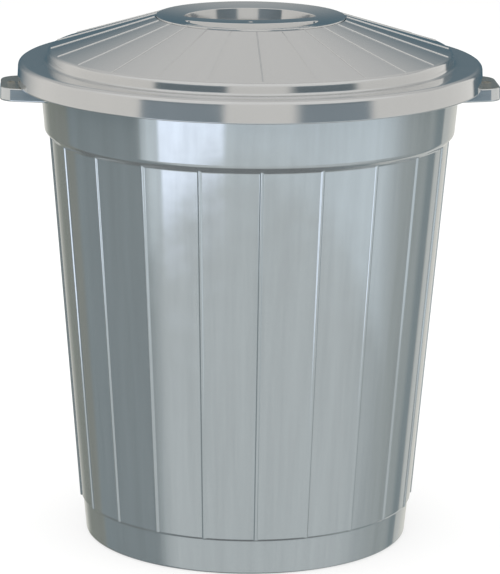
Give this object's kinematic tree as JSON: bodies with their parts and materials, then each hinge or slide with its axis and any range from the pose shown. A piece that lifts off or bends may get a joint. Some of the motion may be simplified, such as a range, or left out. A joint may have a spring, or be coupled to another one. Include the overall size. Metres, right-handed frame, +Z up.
{
  "type": "plastic trash can",
  "caption": "Round tapered plastic bin with upright ribs, a smooth collar, side lugs and a lift-off conical lid with a round recessed grab handle.",
  "frame": {"origin": "centre of the base, on the ground the bin stands on", "axes": "+Z up along the bin's axis; +X through the two side lugs and along the grab bar; -Y is the front, where one upright rib stands in the middle"},
  "size_m": [0.5044, 0.47, 0.5359],
  "materials": {
    "bin_plastic": "silver-grey metallic-look gloss plastic",
    "lid_plastic": "silver-grey metallic-look gloss plastic",
    "handle_plastic": "silver-grey metallic-look gloss plastic"
  },
  "bodies": {
    "bin": {"bin_body": "bin_plastic"},
    "lid": {"lid": "lid_plastic", "lid_handle": "handle_plastic"}
  },
  "joints": [
    {"name": "lid_lift", "type": "slide", "parent": "bin", "child": "lid", "axis": [0, 0, 1], "range_m": [0, 0.25]}
  ]
}
